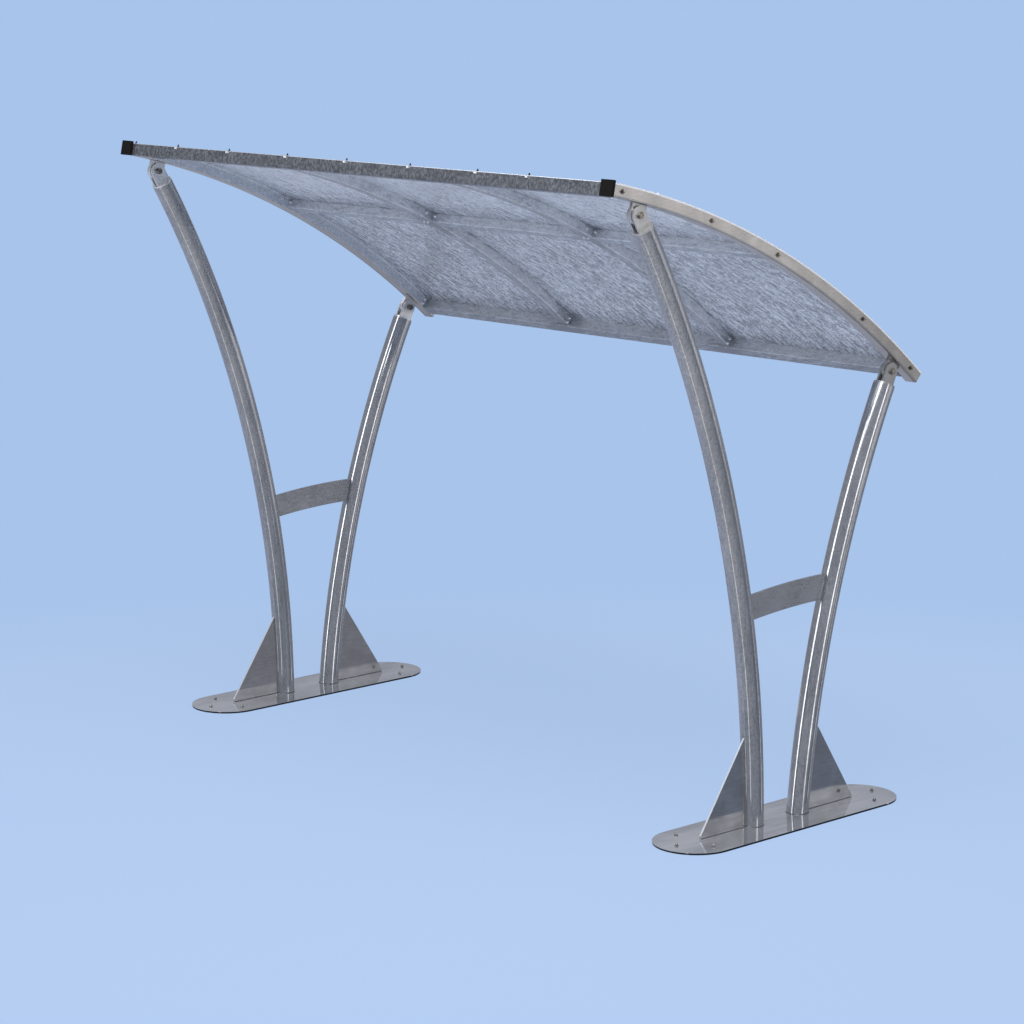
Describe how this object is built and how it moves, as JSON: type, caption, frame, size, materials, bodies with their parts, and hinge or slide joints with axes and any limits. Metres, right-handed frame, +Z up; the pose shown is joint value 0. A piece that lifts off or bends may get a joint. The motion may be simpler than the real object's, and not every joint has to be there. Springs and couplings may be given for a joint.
{
  "type": "bike shelter",
  "caption": "Open bike shelter: bent round steel posts on long rounded floor plates hold an arched steel roof on forked pivots, tall at the front and low at the back.",
  "frame": {"origin": "on the floor, under the middle of the shelter's length and of its depth from caps to rear edge", "axes": "+X along the shelter, +Y from the tall open front to the low back, +Z up"},
  "size_m": [3.27, 1.7582, 2.5748],
  "materials": {
    "galvanised_steel": "galvanised, mottled satin",
    "galvanised_sheet": "galvanised sheet, streaked from front to back",
    "bright_rail": "bright galvanised, smooth",
    "polished_plate": "polished plate",
    "zinc_bolt": "zinc-plated, bright",
    "black_plastic": "black moulded plastic"
  },
  "bodies": {
    "root": {"base_plate_left": "polished_plate", "base_plate_right": "polished_plate", "cleat_centre_a": "galvanised_steel", "cleat_centre_b": "galvanised_steel", "cleat_left_a": "galvanised_steel", "cleat_left_b": "galvanised_steel", "cleat_right_a": "galvanised_steel", "cleat_right_b": "galvanised_steel", "cross_bar_left": "galvanised_steel", "cross_bar_right": "galvanised_steel", "fork_front_left": "galvanised_steel", "fork_front_right": "galvanised_steel", "fork_rear_left": "galvanised_steel", "fork_rear_right": "galvanised_steel", "front_beam": "galvanised_steel", "front_post_left": "galvanised_steel", "front_post_right": "galvanised_steel", "gusset_front_left": "polished_plate", "gusset_front_right": "polished_plate", "gusset_rear_left": "polished_plate", "gusset_rear_right": "polished_plate", "mid_purlin_centre": "galvanised_steel", "mid_purlin_left": "galvanised_steel", "mid_purlin_right": "galvanised_steel", "pivot_bolt_front_left": "zinc_bolt", "pivot_bolt_front_right": "zinc_bolt", "pivot_bolt_rear_left": "zinc_bolt", "pivot_bolt_rear_right": "zinc_bolt", "rafter_left": "galvanised_steel", "rafter_right": "galvanised_steel", "rail_cap_left": "black_plastic", "rail_cap_right": "black_plastic", "rear_beam": "galvanised_steel", "rear_post_left": "galvanised_steel", "rear_post_right": "galvanised_steel", "roof_lug_front_left": "galvanised_steel", "roof_lug_front_right": "galvanised_steel", "roof_lug_rear_left": "galvanised_steel", "roof_lug_rear_right": "galvanised_steel", "roof_sheet": "galvanised_sheet", "side_rail_left": "bright_rail", "side_rail_right": "bright_rail"}
  },
  "joints": []
}
